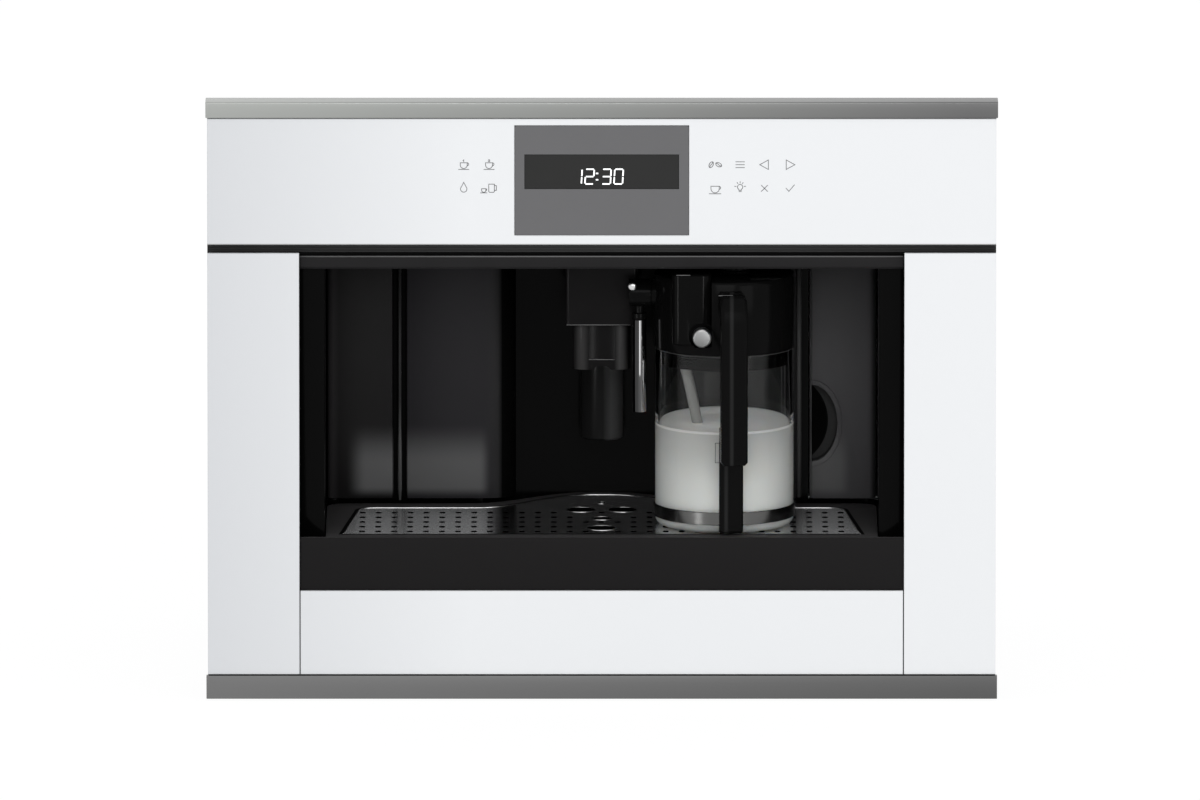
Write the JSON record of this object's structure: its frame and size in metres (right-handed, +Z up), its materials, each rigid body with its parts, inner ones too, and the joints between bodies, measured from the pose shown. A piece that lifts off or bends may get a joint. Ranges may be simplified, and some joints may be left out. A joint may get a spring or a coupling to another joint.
{
  "type": "built-in coffee machine",
  "caption": "Built-in bean-to-cup coffee machine with glass front, drip tray, milk jug, water tank, service door and pull-out guides.",
  "frame": {"origin": "middle of the base of the whole part: half its width, half its depth, at the lower edge of the front", "axes": "+X to the user's right along the front, +Y back into the cabinet, +Z up; the front faces -Y"},
  "size_m": [0.595, 0.3886, 0.455],
  "materials": {
    "brushed_steel": "brushed along the bar, satin",
    "white_glass": "back-painted white glass, gloss",
    "grey_panel": "fine satin grey",
    "display_glass": "smoked window, gloss",
    "board_green": "circuit board with solder mask",
    "black_plastic": "moulded, fine grain",
    "satin_black": "satin charcoal moulding",
    "gloss_black": "polished black moulding",
    "black_trim": "moulded, fine grain",
    "lamp_lens": "frosted lens",
    "polished_steel": "polished stainless steel",
    "clear_glass": "clear",
    "smoked_plastic": "translucent grey moulding",
    "button_silver": "satin silver",
    "chrome": "polished chrome",
    "sheet_steel": "zinc-plated sheet, dull",
    "grey_plastic": "moulded grey plastic",
    "cast_aluminium": "die cast, dull"
  },
  "bodies": {
    "niche_guides": {"guide_outer_left": "sheet_steel", "guide_outer_right": "sheet_steel"},
    "guide_middle": {"guide_middle_left": "sheet_steel", "guide_middle_right": "sheet_steel"},
    "machine": {"top_trim": "brushed_steel", "bottom_trim": "brushed_steel", "control_glass": "white_glass", "pillar_left": "white_glass", "pillar_right": "white_glass", "lower_panel": "white_glass", "display_panel": "grey_panel", "display_window": "display_glass", "display_board": "board_green", "control_board": "board_green", "front_frame": "black_plastic", "cavity_liner": "black_plastic", "grounds_bin": "black_plastic", "power_inlet": "black_plastic", "cavity_header": "satin_black", "nozzle_panel": "satin_black", "spout_cover": "satin_black", "spout_column": "gloss_black", "cavity_lamp_left": "lamp_lens", "cavity_lamp_right": "lamp_lens", "steam_nozzle": "polished_steel", "bean_hopper": "smoked_plastic", "chassis_pan": "sheet_steel", "top_cover": "sheet_steel", "rear_cover": "sheet_steel", "inner_deck": "sheet_steel", "tank_shelf": "sheet_steel", "guide_inner_left": "sheet_steel", "guide_inner_right": "sheet_steel", "service_bay": "grey_plastic", "brew_group": "grey_plastic", "pump": "grey_plastic", "grinder": "cast_aluminium", "heater_block": "cast_aluminium"},
    "drip_tray": {"drip_tray": "black_plastic", "cup_sheet": "polished_steel"},
    "water_tank": {"tank_front": "satin_black", "water_tank": "smoked_plastic", "tank_lid": "black_trim"},
    "service_door": {"service_door": "satin_black"},
    "spout_head": {"spout_head": "satin_black"},
    "jug": {"jug_glass": "clear_glass", "jug_band": "polished_steel", "jug_strap": "gloss_black", "jug_grip": "gloss_black", "jug_lid": "gloss_black", "froth_block": "gloss_black", "intake_tube": "smoked_plastic"},
    "milk_arm": {"milk_arm_joint": "gloss_black", "milk_arm_tube": "chrome"},
    "clean_button": {"clean_button": "button_silver"},
    "froth_knob": {"froth_knob": "black_trim"},
    "hopper_lid": {"hopper_lid": "black_trim"},
    "chute_lid": {"chute_lid": "black_trim"},
    "grind_dial": {"grind_dial": "black_trim"},
    "switch_rocker": {"switch_rocker": "black_trim"}
  },
  "joints": [
    {"name": "machine_slide", "type": "slide", "parent": "niche_guides", "child": "machine", "axis": [0, -1, 0], "range_m": [0, 0.32]},
    {"name": "guide_middle_slide", "type": "slide", "parent": "niche_guides", "child": "guide_middle", "axis": [0, -1, 0], "range_m": [0, 0.16]},
    {"name": "drip_tray_slide", "type": "slide", "parent": "machine", "child": "drip_tray", "axis": [0, -1, 0], "range_m": [0, 0.22]},
    {"name": "water_tank_slide", "type": "slide", "parent": "machine", "child": "water_tank", "axis": [0, -1, 0], "range_m": [0, 0.36]},
    {"name": "service_door_hinge", "type": "hinge", "parent": "machine", "child": "service_door", "pos_m": [-0.203, -0.0075, 0.224], "axis": [0, 0, -1], "range_deg": [0, 90]},
    {"name": "spout_height", "type": "slide", "parent": "machine", "child": "spout_head", "axis": [0, 0, 1], "range_m": [-0.03, 0.014]},
    {"name": "jug_slide", "type": "slide", "parent": "machine", "child": "jug", "axis": [0, -1, 0], "range_m": [0, 0.2]},
    {"name": "milk_arm_swing", "type": "hinge", "parent": "jug", "child": "milk_arm", "pos_m": [0.0284, -0.1101, 0.3], "axis": [-1, 0, 0], "range_deg": [0, 60]},
    {"name": "clean_button_press", "type": "slide", "parent": "jug", "child": "clean_button", "axis": [0, 1, 0], "range_m": [0, 0.003], "stiffness_N_per_m": 300},
    {"name": "froth_knob_turn", "type": "hinge", "parent": "jug", "child": "froth_knob", "pos_m": [0.1004, -0.0991, 0.318], "axis": [0, 0, 1], "range_deg": [-45, 45]},
    {"name": "hopper_lid_hinge", "type": "hinge", "parent": "machine", "child": "hopper_lid", "pos_m": [-0.03, 0.1739, 0.398], "axis": [-1, 0, 0], "range_deg": [0, 100]},
    {"name": "chute_lid_hinge", "type": "hinge", "parent": "machine", "child": "chute_lid", "pos_m": [-0.146, 0.1109, 0.398], "axis": [-1, 0, 0], "range_deg": [0, 100]},
    {"name": "grind_dial_turn", "type": "hinge", "parent": "machine", "child": "grind_dial", "pos_m": [0.092, 0.1139, 0.395], "axis": [0, 0, 1], "range_deg": [-120, 120]},
    {"name": "main_switch_tip", "type": "hinge", "parent": "machine", "child": "switch_rocker", "pos_m": [-0.152, 0.1897, 0.07], "axis": [-1, 0, 0], "range_deg": [0, 12]}
  ],
  "couplings": [
    {"joint": "guide_middle_slide", "follows": "machine_slide", "ratio": 0.5}
  ]
}
